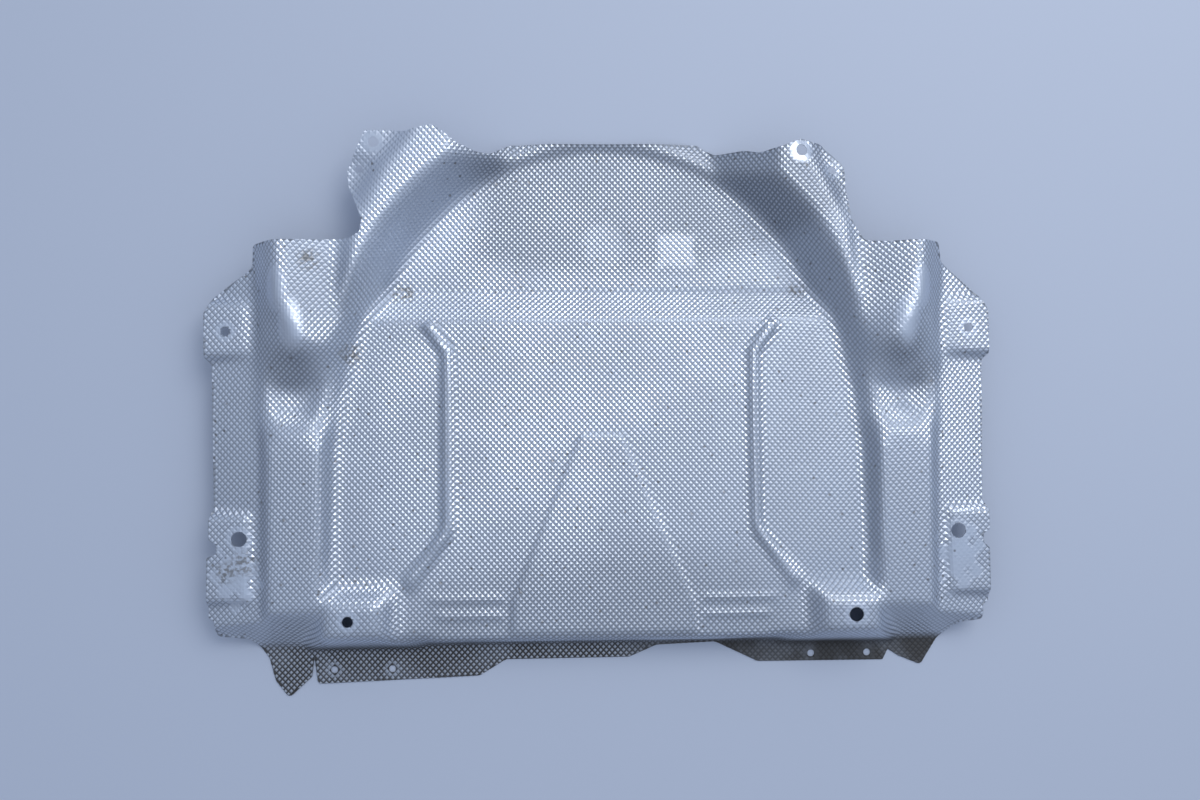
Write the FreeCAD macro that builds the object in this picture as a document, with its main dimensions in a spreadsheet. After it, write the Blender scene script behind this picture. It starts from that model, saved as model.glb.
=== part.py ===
import FreeCAD, Part
import math
import os
import Sketcher

# Heat shield for a silencer: one pressed aluminium sheet, lying on its back with the recess facing up.
# X runs across the shield, Y from the lower flange to the top tabs, Z out of the recess. Sizes in mm.

doc = FreeCAD.newDocument("heat_shield")

# Driving sizes
SIZES = {
    "sheet": 1.2,
    "floor_level": 1.2,
    "frame_level": 42,
    "shoulder_level": 50,
    "nose_level": 62,
    "pad_level": 45,
    "tab_level": 34.5,
    "left_lug_level": 42,
    "left_ear_level": 37,
    "right_lug_level": 44,
    "right_ear_level": 38,
    "hollow_level": 30,
    "hollow_top": 64,
    "brow_level": 7.5,
    "underside": -20,
    "arch_radius": 224,
    "arch_centre": 25,
    "flank_radius": 386,
    "recess_half": 243,
    "recess_end": -330,
    "recess_height": 110,
    "recess_draft": 30,
    "strip_inner": 318,
    "strip_inner_level": 33,
    "strip_outer": 420,
    "strip_outer_level": 22,
    "slab_length": 640,
    "slab_end": -330,
    "end_crest": -197,
    "step_top": 80,
    "step_level": 16,
    "step_toe": 119,
    "step_toe_level": -4,
    "lip_end_level": 36.02,
    "floor_tilt": 2.795,
    "floor_length": 400,
    "foot_radius": 9,
    "bend_radius": 14,
    "rim_radius": 6,
    "shoulder_radius": 10,
    "lip_radius": 4,
    "bead_height": 4.5,
    "panel_height": 2,
    "crimp_height": 1.2,
    "bead_bend_top": 12,
    "bead_bend_foot": 36,
    "bead_width": 6,
    "frame_draft": 45,
    "shoulder_draft": 52,
    "tab_draft": 40,
    "lug_draft": 40,
    "bead_draft": 42,
    "panel_draft": 62,
    "brow_draft": 62,
    "gap_draft": 0,
    "brow_across": 464,
    "lug_x": 190.5,
    "lug_y": 237,
    "lug_across": 30,
    "place_y": 12.84,
}

# Outlines: one pair of cells for each corner
OUTLINES = {
    "frame": [(-316, -300), (316, -300), (316, 62), (304, 190), (-304, 190), (-316, 62)],
    "left_shoulder": [(-140, 300), (-204, 222), (-232, 168), (-240, 100), (-150, 100)],
    "right_shoulder": [(172, 262), (204, 222), (232, 168), (240, 100), (165, 100)],
    "top_gap": [(-136, 195), (156, 180), (160, 300), (-136, 300)],
    "nose_crest": [(299, 170), (295, 104), (274, 52), (281, 45), (302, 98), (306, 170)],
    "nose_skirt": [(250, 170), (246, 100), (250, 44), (321, 37), (322, 94), (326, 170)],
    "nose_foot": [(240, 170), (236, 94), (244, 30), (327, 24), (331, 92), (333, 170)],
    "hollow_floor": [(268, 22), (306, 18), (302, -8), (276, -9)],
    "hollow_rim": [(230, 42), (344, 38), (340, -46), (238, -47)],
    "upper_tab": [(334, 46), (440, 46), (440, 96), (334, 96)],
    "lower_tab": [(337, -186), (440, -186), (440, -107), (337, -107)],
    "left_lug": [(-231, 234), (-224, 290), (-190, 290), (-192, 244), (-212, 230)],
    "left_ear": [(-270, 200), (-270, 228), (-228, 240), (-212, 228), (-222, 200)],
    "right_ear": [(216, 204), (208, 222), (222, 236), (270, 236), (270, 204)],
    "lip_crest": [(-262, -120), (-262, -225), (262, -225), (262, -120)],
    "lip_foot": [(-290, -60), (-290, -243), (290, -243), (290, -60)],
    "pad_crest": [(213, -189), (264, -189), (264, -222), (213, -222)],
    "pad_foot": [(176, -158), (290, -158), (290, -239), (176, -239)],
    "bead": [
        (170.5, 73.3), (165.5, 76.7), (146, 48.9), (146, -125),
        (184.6, -175.8), (189.4, -172.2), (152, -123), (152, 47.1),
    ],
    "panel": [(-19, -33), (19, -33), (86, -192), (88, -222), (-88, -222), (-86, -192)],
    "upper_crimp": [(98, -187), (168, -187), (168, -191), (98, -191)],
    "lower_crimp": [(98, -203), (160, -203), (160, -207), (98, -207)],
}

# Free edge of the sheet: x, y and corner radius
EDGE = [
    (-236, 155, 4), (-226, 160, 4), (-224, 173, 4), (-230, 187, 8), (-238, 204, 8), (-240, 218, 8),
    (-231, 238, 8), (-222, 257, 4), (-199, 257, 0), (-184, 255, 8), (-158, 261, 8), (-136, 245, 8),
    (-120, 240, 8), (-107, 240, 8), (-87, 252, 8), (-53, 253.5, 0), (96, 253.5, 8), (114, 242.5, 8),
    (140, 242, 8), (154, 237.5, 8), (173, 241, 8), (190, 248, 8), (212, 244.5, 8), (234, 223, 8),
    (236, 198, 0), (239, 172, 8), (252, 152, 8), (273, 150, 0), (322, 150, 4), (327, 134, 8),
    (350, 115, 8), (367, 100, 8), (375, 86, 8), (376, 44, 2), (371, 38, 2), (371, -98, 4),
    (375, -108, 4), (375, -127, 2), (369, -131, 2), (369, -139, 2), (375, -145, 2), (376, -198, 2),
    (371, -201, 2), (371, -216, 4), (349, -220, 8), (334, -240, 8), (318, -266, 4), (296, -257, 8),
    (285, -250, 0), (280, -260.5, 2), (154, -260, 8), (111, -239.5, 8), (53, -242, 8), (26, -253.5, 8),
    (-96, -254, 8), (-122, -269.5, 8), (-190, -272, 0), (-280, -275, 4), (-283.5, -248, 0),
    (-286, -268, 2), (-308, -288, 4), (-321, -271, 8), (-327, -249, 8), (-342, -227, 8), (-371, -223, 4),
    (-371, -206, 2), (-376, -203, 2), (-375, -145, 2), (-366, -141, 2), (-366, -132, 2), (-373, -128, 2),
    (-373, -108, 4), (-370, -98, 4), (-371, 38, 2), (-376, 44, 2), (-376, 86, 8), (-367, 102, 8),
    (-350, 115, 8), (-330, 129, 8), (-328, 150, 4),
]

# Holes: x, y and diameter
HOLES = {
    "right_upper": (355.5, 69, 8.5),
    "left_upper": (-355.5, 69, 8.5),
    "right_lower": (344.5, -127.6, 14),
    "left_lower": (-344.5, -127.6, 14),
    "right_inner": (207.5, -253, 7),
    "left_inner": (-207.5, -261.5, 7),
    "right_outer": (264, -253, 7),
    "left_outer": (-264, -261.5, 7),
    "right_pad": (241, -205, 13.4),
    "left_pad": (-241, -205, 10),
    "right_lug": (190.5, 237, 10.5),
    "left_lug": (-214, 246, 10),
    "right_ear": (222, 219.5, 8),
    "left_ear": (-228.5, 221.5, 7.5),
}


def fill_sheet():
    """Write every size into an aliased cell and return the sheet."""
    cells = dict(SIZES)
    for name, corners in list(OUTLINES.items()) + [("edge", EDGE)]:
        for number, corner in enumerate(corners, 1):
            cells[f"{name}_x{number}"] = corner[0]
            cells[f"{name}_y{number}"] = corner[1]
    for name, (x, y, across) in HOLES.items():
        cells[f"{name}_hole_x"] = x
        cells[f"{name}_hole_y"] = y
        cells[f"{name}_hole_across"] = across
    sheet = doc.addObject("Spreadsheet::Sheet", "dims")
    for row, (alias, value) in enumerate(cells.items(), 1):
        sheet.set(f"A{row}", alias)
        sheet.set(f"B{row}", str(value))
        sheet.setAlias(f"B{row}", alias)
    doc.recompute()
    return sheet


dims = fill_sheet()


def size(alias):
    """The value of one cell as a plain number."""
    return float(dims.get(alias))


# Sketch helpers
def new_sketch(body, name, plane="XY_Plane", level=None, tilt=None):
    """A sketch on one of the body's own origin planes, lifted to a level and tilted if asked."""
    support = [part for part in body.Origin.OriginFeatures if part.Role == plane][0]
    sketch = body.newObject("Sketcher::SketchObject", name)
    sketch.AttachmentSupport = (support, [""])
    sketch.MapMode = "FlatFace"
    if tilt:
        turn = FreeCAD.Rotation(FreeCAD.Vector(1, 0, 0), 1)
        sketch.AttachmentOffset = FreeCAD.Placement(FreeCAD.Vector(0, 0, 0), turn)
        sketch.setExpression("AttachmentOffset.Rotation.Angle", tilt)
    if level:
        sketch.setExpression("AttachmentOffset.Base.z", level)
    return sketch


def hold_point(sketch, edge, vertex, name, x, y):
    """Bind one point of a sketch to a pair of cells."""
    for axis, kind, alias in (("x", "DistanceX", x), ("y", "DistanceY", y)):
        index = sketch.addConstraint(Sketcher.Constraint(kind, -1, 1, edge, vertex, size(alias)))
        sketch.renameConstraint(index, f"{name}_{axis}")
        sketch.setExpression(f"Constraints.{name}_{axis}", f"dims.{alias}")


def add_polygon(sketch, pairs):
    """A closed run of straight edges through pairs of cells."""
    points = [FreeCAD.Vector(size(x), size(y), 0) for x, y in pairs]
    count = len(points)
    for index in range(count):
        sketch.addGeometry(Part.LineSegment(points[index], points[(index + 1) % count]))
    for index in range(count):
        sketch.addConstraint(Sketcher.Constraint("Coincident", index, 2, (index + 1) % count, 1))
    for index, (x, y) in enumerate(pairs):
        hold_point(sketch, index, 1, f"corner{index + 1}", x, y)


def outline_pairs(name, count):
    """The cell pairs of a named outline."""
    return [(f"{name}_x{n}", f"{name}_y{n}") for n in range(1, count + 1)]


def add_circle(sketch, x, y, across):
    """A circle whose centre and diameter come from cells."""
    centre = FreeCAD.Vector(size(x), size(y), 0)
    edge = sketch.addGeometry(Part.Circle(centre, FreeCAD.Vector(0, 0, 1), size(across) / 2))
    hold_point(sketch, edge, 3, f"centre{edge + 1}", x, y)
    index = sketch.addConstraint(Sketcher.Constraint("Diameter", edge, size(across)))
    sketch.renameConstraint(index, f"across{edge + 1}")
    sketch.setExpression(f"Constraints.across{edge + 1}", f"dims.{across}")


# Tool helpers
def new_body(name):
    """An empty body with a readable label."""
    body = doc.addObject("PartDesign::Body", name)
    body.Label = name.replace("_", " ")
    return body


def drafted_pad(body, sketch, length, draft, upward=False):
    """Pad a sketch so that it widens away from its own plane."""
    pad = body.newObject("PartDesign::Pad", body.Name + "_pad")
    pad.Profile = sketch
    pad.Reversed = not upward
    pad.setExpression("Length", length)
    pad.setExpression("TaperAngle", f"dims.{draft}")
    body.Tip = pad
    doc.recompute()
    return pad


def loft_between(body, first, others):
    """A straight-sided loft through the sketches of one body."""
    loft = body.newObject("PartDesign::AdditiveLoft", body.Name + "_loft")
    loft.Profile = first
    loft.Sections = others
    loft.Ruled = True
    body.Tip = loft
    doc.recompute()
    return loft


def round_edges(body, radius, wanted, label):
    """Fillet the edges of the body's tip that pass a test."""
    base = body.Tip
    names = [f"Edge{n}" for n, edge in enumerate(base.Shape.Edges, 1) if wanted(edge)]
    fillet = body.newObject("PartDesign::Fillet", f"{body.Name}_{label}")
    fillet.Base = (base, names)
    fillet.Radius = radius
    body.Tip = fillet
    doc.recompute()
    return fillet


def touching(sketch, ends):
    """A test for edges with the given number of ends on the plane of a sketch."""
    back = sketch.Placement.inverse()

    def wanted(edge):
        heights = [abs(back.multVec(vertex.Point).z) for vertex in edge.Vertexes]
        return len(heights) == 2 and sum(height < 0.01 for height in heights) == ends

    return wanted


def at_corner(sketch, name, number):
    """A test for the sloping edge that starts at one corner of an outline."""
    flat = FreeCAD.Vector(size(f"{name}_x{number}"), size(f"{name}_y{number}"), 0)
    spot = sketch.Placement.multVec(flat)
    slanting = touching(sketch, 1)

    def wanted(edge):
        return slanting(edge) and min(vertex.Point.distanceToPoint(spot) for vertex in edge.Vertexes) < 0.01

    return wanted


def raised(name, level, length, draft, corner=0, crest=0, tilt=None, bends=()):
    """A raised press feature: its flat top is the outline, its sides widen downward."""
    body = new_body(name)
    sketch = new_sketch(body, name + "_top", level=level, tilt=tilt)
    add_polygon(sketch, outline_pairs(name, len(OUTLINES[name])))
    drafted_pad(body, sketch, length, draft)
    if corner:
        round_edges(body, corner, touching(sketch, 1), "corners")
    for number, radius in bends:
        round_edges(body, radius, at_corner(sketch, name, number), f"bend{number}")
    if crest:
        round_edges(body, crest, touching(sketch, 2), "crest")
    return body


def lofted(name, sections, crest=0):
    """A press feature with its own slope on every side, from outlines and their levels, top first."""
    body = new_body(name)
    sketches = []
    for outline, level in sections:
        sketch = new_sketch(body, outline + "_section", level=level)
        add_polygon(sketch, outline_pairs(outline, len(OUTLINES[outline])))
        sketches.append(sketch)
    doc.recompute()
    loft_between(body, sketches[0], sketches[1:])
    if crest:
        round_edges(body, crest, touching(sketches[0], 2), "crest")
    return body


def mirrored(body):
    """The same tool on the other side of the centre line."""
    twin = doc.addObject("Part::Mirroring", body.Name + "_twin")
    twin.Source = body
    twin.Normal = FreeCAD.Vector(1, 0, 0)
    twin.Label = "other " + body.Label
    return twin


def joined(name, shapes):
    """One solid from several tools."""
    fuse = doc.addObject("Part::MultiFuse", name)
    fuse.Shapes = shapes
    doc.recompute()
    return fuse


def less(name, base, tool):
    """A solid with a tool taken away."""
    cut = doc.addObject("Part::Cut", name)
    cut.Base = base
    cut.Tool = tool
    doc.recompute()
    return cut


def shared(name, first, second):
    """What two solids have in common."""
    common = doc.addObject("Part::MultiCommon", name)
    common.Shapes = [first, second]
    doc.recompute()
    return common


# Blank: the level that the recess floor and the lower flange share
def blank_slab():
    body = new_body("blank_slab")
    box = body.newObject("PartDesign::AdditiveBox", "blank_box")
    box.setExpression("Length", "2 * dims.strip_outer")
    box.setExpression("Width", "dims.slab_length")
    box.setExpression("Height", "dims.floor_level - dims.underside")
    box.setExpression("Placement.Base.x", "-dims.strip_outer")
    box.setExpression("Placement.Base.y", "dims.slab_end")
    box.setExpression("Placement.Base.z", "dims.underside")
    doc.recompute()
    return body


# Side strips: they fall away toward the long edges
def side_strips():
    body = new_body("side_strips")
    sketch = new_sketch(body, "strip_section", plane="XZ_Plane")
    pairs = [
        ("strip_outer", "underside"),
        ("strip_outer", "strip_outer_level"),
        ("strip_inner", "strip_inner_level"),
    ]
    right = [FreeCAD.Vector(size(x), size(y), 0) for x, y in pairs]
    left = [FreeCAD.Vector(-point.x, point.y, 0) for point in reversed(right)]
    points = right + left
    for index in range(6):
        sketch.addGeometry(Part.LineSegment(points[index], points[(index + 1) % 6]))
    for index in range(6):
        sketch.addConstraint(Sketcher.Constraint("Coincident", index, 2, (index + 1) % 6, 1))
    for index, (x, y) in enumerate(pairs):
        hold_point(sketch, index, 1, f"corner{index + 1}", x, y)
        sketch.addConstraint(Sketcher.Constraint("Symmetric", index, 1, 5 - index, 1, -2))
    pad = body.newObject("PartDesign::Pad", "strip_pad")
    pad.Profile = sketch
    pad.Midplane = True
    pad.setExpression("Length", "2 * dims.slab_length")
    body.Tip = pad
    doc.recompute()
    return body


# End slope: the drafted face between the frame and the lower flange
def end_slope():
    body = new_body("end_slope")
    sketch = new_sketch(body, "end_section", plane="YZ_Plane")
    run = size("frame_level") - size("underside")
    crest = size("end_crest")
    top = size("recess_height")
    head = size("slab_length")
    points = [
        FreeCAD.Vector(crest - run, size("underside"), 0),
        FreeCAD.Vector(head, size("underside"), 0),
        FreeCAD.Vector(head, top, 0),
        FreeCAD.Vector(crest + top - size("frame_level"), top, 0),
    ]
    for index in range(4):
        sketch.addGeometry(Part.LineSegment(points[index], points[(index + 1) % 4]))
    for index in range(4):
        sketch.addConstraint(Sketcher.Constraint("Coincident", index, 2, (index + 1) % 4, 1))
    for index in (0, 2):
        sketch.addConstraint(Sketcher.Constraint("Horizontal", index))
    sketch.addConstraint(Sketcher.Constraint("Vertical", 1))
    rules = [
        ("foot_x", Sketcher.Constraint("DistanceX", -1, 1, 0, 1, points[0].x),
         "dims.end_crest - (dims.frame_level - dims.underside)"),
        ("foot_y", Sketcher.Constraint("DistanceY", -1, 1, 0, 1, points[0].y), "dims.underside"),
        ("head_x", Sketcher.Constraint("DistanceX", -1, 1, 1, 1, head), "dims.slab_length"),
        ("head_y", Sketcher.Constraint("DistanceY", -1, 1, 2, 1, top), "dims.recess_height"),
        ("top_x", Sketcher.Constraint("DistanceX", -1, 1, 3, 1, points[3].x),
         "dims.end_crest + dims.recess_height - dims.frame_level"),
    ]
    for name, rule, formula in rules:
        index = sketch.addConstraint(rule)
        sketch.renameConstraint(index, name)
        sketch.setExpression(f"Constraints.{name}", formula)
    pad = body.newObject("PartDesign::Pad", "end_pad")
    pad.Profile = sketch
    pad.Midplane = True
    pad.setExpression("Length", "4 * dims.strip_outer")
    body.Tip = pad
    doc.recompute()
    return body


# Arched recess: a three-centred arch with drafted walls
def arch_tool():
    body = new_body("arch_tool")
    sketch = new_sketch(body, "arch_outline", level="dims.floor_level")
    crown = size("arch_radius")
    flank = size("flank_radius")
    half = size("recess_half")
    end = size("recess_end")
    centre = FreeCAD.Vector(0, size("arch_centre"), 0)
    swing = math.acos((flank - half) / (flank - crown))
    side = FreeCAD.Vector(half - flank, centre.y - (flank - crown) * math.sin(swing), 0)
    up = FreeCAD.Vector(0, 0, 1)
    twin = FreeCAD.Vector(-side.x, side.y, 0)
    corners = [
        FreeCAD.Vector(half, side.y, 0),
        FreeCAD.Vector(half, end, 0),
        FreeCAD.Vector(-half, end, 0),
        FreeCAD.Vector(-half, side.y, 0),
    ]
    sketch.addGeometry(Part.ArcOfCircle(Part.Circle(centre, up, crown), swing, math.pi - swing))
    sketch.addGeometry(Part.ArcOfCircle(Part.Circle(side, up, flank), 0, swing))
    for index in range(3):
        sketch.addGeometry(Part.LineSegment(corners[index], corners[index + 1]))
    sketch.addGeometry(Part.ArcOfCircle(Part.Circle(twin, up, flank), math.pi - swing, math.pi))
    for first, at, second, to in ((0, 1, 1, 2), (1, 1, 2, 1), (4, 2, 5, 2), (5, 1, 0, 2)):
        sketch.addConstraint(Sketcher.Constraint("Tangent", first, at, second, to))
    sketch.addConstraint(Sketcher.Constraint("Coincident", 2, 2, 3, 1))
    sketch.addConstraint(Sketcher.Constraint("Coincident", 3, 2, 4, 1))
    sketch.addConstraint(Sketcher.Constraint("Vertical", 4))
    sketch.addConstraint(Sketcher.Constraint("Vertical", 2))
    sketch.addConstraint(Sketcher.Constraint("Symmetric", 2, 2, 4, 1, -2))
    sketch.addConstraint(Sketcher.Constraint("PointOnObject", 0, 3, -2))
    sketch.addConstraint(Sketcher.Constraint("Equal", 1, 5))
    rules = [
        ("crown", Sketcher.Constraint("Radius", 0, crown), "dims.arch_radius"),
        ("flank", Sketcher.Constraint("Radius", 1, flank), "dims.flank_radius"),
        ("rise", Sketcher.Constraint("DistanceY", -1, 1, 0, 3, centre.y), "dims.arch_centre"),
        ("half", Sketcher.Constraint("DistanceX", -1, 1, 2, 2, half), "dims.recess_half"),
        ("end", Sketcher.Constraint("DistanceY", -1, 1, 2, 2, end), "dims.recess_end"),
    ]
    for name, rule, formula in rules:
        index = sketch.addConstraint(rule)
        sketch.renameConstraint(index, name)
        sketch.setExpression(f"Constraints.{name}", formula)
    drafted_pad(body, sketch, "dims.recess_height", "recess_draft", upward=True)
    return body


# Recess floor: flat at the crown, a sloping step, then a floor that rises to the lip
def floor_tool():
    body = new_body("floor_tool")
    sketch = new_sketch(body, "floor_section", plane="YZ_Plane")
    add_polygon(sketch, [
        ("floor_length", "step_toe_level"),
        ("floor_length", "recess_height"),
        ("recess_end", "recess_height"),
        ("recess_end", "lip_end_level"),
        ("step_top", "step_level"),
        ("step_toe", "step_toe_level"),
    ])
    pad = body.newObject("PartDesign::Pad", "floor_pad")
    pad.Profile = sketch
    pad.Midplane = True
    pad.setExpression("Length", "4 * dims.strip_outer")
    body.Tip = pad
    doc.recompute()
    return body


def rounded_recess(recess):
    """Round the foot of the recess walls and the two bends of the step."""
    shape = recess.Shape
    edges = []
    for number, edge in enumerate(shape.Edges, 1):
        faces = shape.ancestorsOfType(edge, Part.Face)
        floors = [face for face in faces if is_floor(face)]
        if len(floors) == 2:
            edges.append((number, size("bend_radius"), size("bend_radius")))
        elif floors and edge.CenterOfMass.y > size("slab_end") + 1:
            edges.append((number, size("foot_radius"), size("foot_radius")))
    fillet = doc.addObject("Part::Fillet", "recess_rounded")
    fillet.Base = recess
    fillet.Edges = edges
    doc.recompute()
    return fillet


def is_floor(face):
    """Whether a face of the recess tool belongs to the floor or its step."""
    first, last, low, high = face.ParameterRange
    normal = face.normalAt((first + last) / 2, (low + high) / 2)
    return normal.z < -0.8


def slopes_at(shape, edge):
    """The upward parts of the two face normals beside the middle of an edge, lower first."""
    middle = edge.valueAt((edge.FirstParameter + edge.LastParameter) / 2)
    values = []
    for face in shape.ancestorsOfType(edge, Part.Face):
        u, v = face.Surface.parameter(middle)
        values.append(face.normalAt(u, v).z)
    return middle, sorted(values)


def rounded_rim(block):
    """Round the rim of the recess below the noses and on the shoulders, and the lip at its open end."""
    shape = block.Shape
    wall = math.sin(math.radians(size("recess_draft")))
    edges = []
    for number, edge in enumerate(shape.Edges, 1):
        if edge.Length < 25:
            continue
        middle, slopes = slopes_at(shape, edge)
        at_wall = abs(slopes[0] - wall) < 0.02 and slopes[-1] > 0.99
        on_frame = middle.z > size("frame_level") - 1 and middle.y < size("hollow_floor_y4")
        on_shoulder = middle.z > size("shoulder_level") - 1
        on_lip = slopes[0] < 0.4 and slopes[-1] > 0.99 and abs(middle.x) < size("recess_half")
        if at_wall and on_frame:
            edges.append((number, size("rim_radius"), size("rim_radius")))
        elif at_wall and on_shoulder:
            edges.append((number, size("shoulder_radius"), size("shoulder_radius")))
        elif on_lip and size("step_level") < middle.z < size("frame_level") - 1:
            edges.append((number, size("lip_radius"), size("lip_radius")))
    fillet = doc.addObject("Part::Fillet", "rim_rounded")
    fillet.Base = block
    fillet.Edges = edges
    doc.recompute()
    return fillet


# Crown nose: a ridge at each upper corner of the frame, with a steep end over the hollow
def crown_nose():
    return lofted("nose", [
        ("nose_crest", "dims.nose_level"),
        ("nose_skirt", "dims.frame_level - 1.5"),
        ("nose_foot", "dims.hollow_level - 4"),
    ])


# Lip: the block under the open end of the recess
def lip_block():
    return lofted("lip", [("lip_crest", "dims.pad_level"), ("lip_foot", "dims.underside")])


# Hole pads in the lower corners of the recess
def hole_pad():
    return lofted("pad", [("pad_crest", "dims.pad_level"), ("pad_foot", "dims.floor_level + 8")], crest=4)


# Hollow below each nose
def nose_hollow():
    return lofted("hollow", [("hollow_rim", "dims.hollow_top"), ("hollow_floor", "dims.hollow_level")])


# Brow: a low ridge along the crown of the recess
def recess_brow():
    body = new_body("brow")
    sketch = new_sketch(body, "brow_top", level="dims.brow_level")
    centre = FreeCAD.Vector(0, size("arch_centre"), 0)
    sketch.addGeometry(Part.Circle(centre, FreeCAD.Vector(0, 0, 1), size("brow_across") / 2))
    sketch.addConstraint(Sketcher.Constraint("PointOnObject", 0, 3, -2))
    rules = [
        ("rise", Sketcher.Constraint("DistanceY", -1, 1, 0, 3, centre.y), "dims.arch_centre"),
        ("across", Sketcher.Constraint("Diameter", 0, size("brow_across")), "dims.brow_across"),
    ]
    for name, rule, formula in rules:
        index = sketch.addConstraint(rule)
        sketch.renameConstraint(index, name)
        sketch.setExpression(f"Constraints.{name}", formula)
    drafted_pad(body, sketch, "dims.brow_level", "brow_draft")
    return body


# Round lug on the right shoulder
def round_lug():
    body = new_body("right_lug")
    sketch = new_sketch(body, "right_lug_top", level="dims.right_lug_level")
    add_circle(sketch, "lug_x", "lug_y", "lug_across")
    drafted_pad(body, sketch, "dims.right_lug_level", "lug_draft")
    return body


# Beads, centre panel and crimps stand on the sloping floor
FLOOR = "dims.step_level + dims.step_top * tan(dims.floor_tilt)"


def on_floor(name, height, draft, bends=(), crest=0):
    level = f"{FLOOR} + dims.{height}"
    return raised(name, level, f"dims.{height} + 1.5", draft, 0, crest, "-dims.floor_tilt", bends)


# Free edge and holes
def blank_outline():
    body = new_body("blank_outline")
    sketch = new_sketch(body, "edge_outline", level="dims.underside + 5")
    add_polygon(sketch, outline_pairs("edge", len(EDGE)))
    pad = body.newObject("PartDesign::Pad", "edge_pad")
    pad.Profile = sketch
    pad.setExpression("Length", "dims.recess_height")
    body.Tip = pad
    doc.recompute()
    for radius in (8, 4, 2):
        spots = [(x, y) for x, y, corner in EDGE if corner == radius]

        def upright(edge):
            ends = [vertex.Point for vertex in edge.Vertexes]
            if len(ends) != 2 or abs(ends[0].z - ends[1].z) < 1:
                return False
            return any(math.hypot(ends[0].x - x, ends[0].y - y) < 0.01 for x, y in spots)

        round_edges(body, radius, upright, f"corners{radius}")
    drill = new_sketch(body, "hole_centres", level="dims.recess_height")
    for name in HOLES:
        add_circle(drill, f"{name}_hole_x", f"{name}_hole_y", f"{name}_hole_across")
    bores = body.newObject("PartDesign::Pocket", "holes")
    bores.Profile = drill
    bores.Type = 1
    body.Tip = bores
    doc.recompute()
    return body


# Assembly of the press form
nose = crown_nose()
left_shoulder = raised("left_shoulder", "dims.shoulder_level", "dims.shoulder_level", "shoulder_draft", 12)
right_shoulder = raised("right_shoulder", "dims.shoulder_level", "dims.shoulder_level", "shoulder_draft", 12)
upper_tab = raised("upper_tab", "dims.tab_level", "dims.tab_level", "tab_draft")
lower_tab = raised("lower_tab", "dims.tab_level", "dims.tab_level", "tab_draft")
frame = raised("frame", "dims.frame_level", "dims.frame_level", "frame_draft", 0, 5)
left_lug = raised("left_lug", "dims.left_lug_level", "dims.left_lug_level", "lug_draft")
left_ear = raised("left_ear", "dims.left_ear_level", "dims.left_ear_level", "lug_draft")
right_ear = raised("right_ear", "dims.right_ear_level", "dims.right_ear_level", "lug_draft")
top_gap = raised("top_gap", "dims.recess_height", "dims.recess_height", "gap_draft")
strips = less("strips", side_strips(), top_gap)
tops = [strips, frame, left_shoulder, right_shoulder, recess_brow()]
tops += [left_lug, left_ear, right_ear, round_lug()]
for tool in (nose, upper_tab, lower_tab):
    tops += [tool, mirrored(tool)]
crown = joined("crown", tops)
ended = shared("ended", crown, end_slope())
block = joined("block", [blank_slab(), ended, lip_block()])

recess = rounded_recess(shared("recess", arch_tool(), floor_tool()))
hollow = nose_hollow()
sunk = joined("sunk", [recess, hollow, mirrored(hollow)])
hollowed = rounded_rim(less("hollowed", block, sunk))

pad = hole_pad()
bead_top = size("bead_bend_top")
bead_foot = size("bead_bend_foot")
bead_width = size("bead_width")
inner_bends = [(8, bead_top), (7, bead_foot)]
outer_bends = [(3, bead_top + bead_width), (4, bead_foot + bead_width)]
bead = on_floor("bead", "bead_height", "bead_draft", inner_bends + outer_bends, 2)
panel = on_floor("panel", "panel_height", "panel_draft")
upper_crimp = on_floor("upper_crimp", "crimp_height", "bead_draft")
lower_crimp = on_floor("lower_crimp", "crimp_height", "bead_draft")
extras = [hollowed, panel]
for tool in (pad, bead, upper_crimp, lower_crimp):
    extras += [tool, mirrored(tool)]
form = joined("form", extras)

# Sheet: the form less itself a sheet lower, inside the free edge
trimmed = shared("trimmed", form, blank_outline())
inside = doc.addObject("Part::Compound", "inside")
inside.Links = [form]
inside.setExpression("Placement.Base.z", "-dims.sheet")
doc.recompute()
shield = less("shield", trimmed, inside)
shield.Label = "heat_shield"
shield.setExpression("Placement.Base.y", "dims.place_y")
doc.recompute()

# Checks and output
for item in doc.Objects:
    if "Invalid" in item.State or "Error" in item.State:
        raise RuntimeError(f"{item.Label} did not build: {item.State}")
    if hasattr(item, "Shape") and item.TypeId.startswith(("Part::", "PartDesign::")):
        if item.Shape.isNull() or not item.Shape.isValid():
            raise RuntimeError(f"{item.Label} has no valid shape")
if len(shield.Shape.Solids) != 1:
    raise RuntimeError(f"the sheet came out as {len(shield.Shape.Solids)} solids")
os.makedirs("parts", exist_ok=True)
shield.Shape.exportStep("parts/heat_shield.step")
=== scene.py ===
"""Dress the silencer heat shield: one embossed sheet, its weathered finish with painted shade, floor,
light and camera.
"""

import logging
import math
from dataclasses import dataclass, field
from enum import Enum
from typing import Any

import bmesh
import bpy
import numpy as np
from mathutils import Euler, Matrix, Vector, noise
from mathutils.bvhtree import BVHTree

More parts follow.
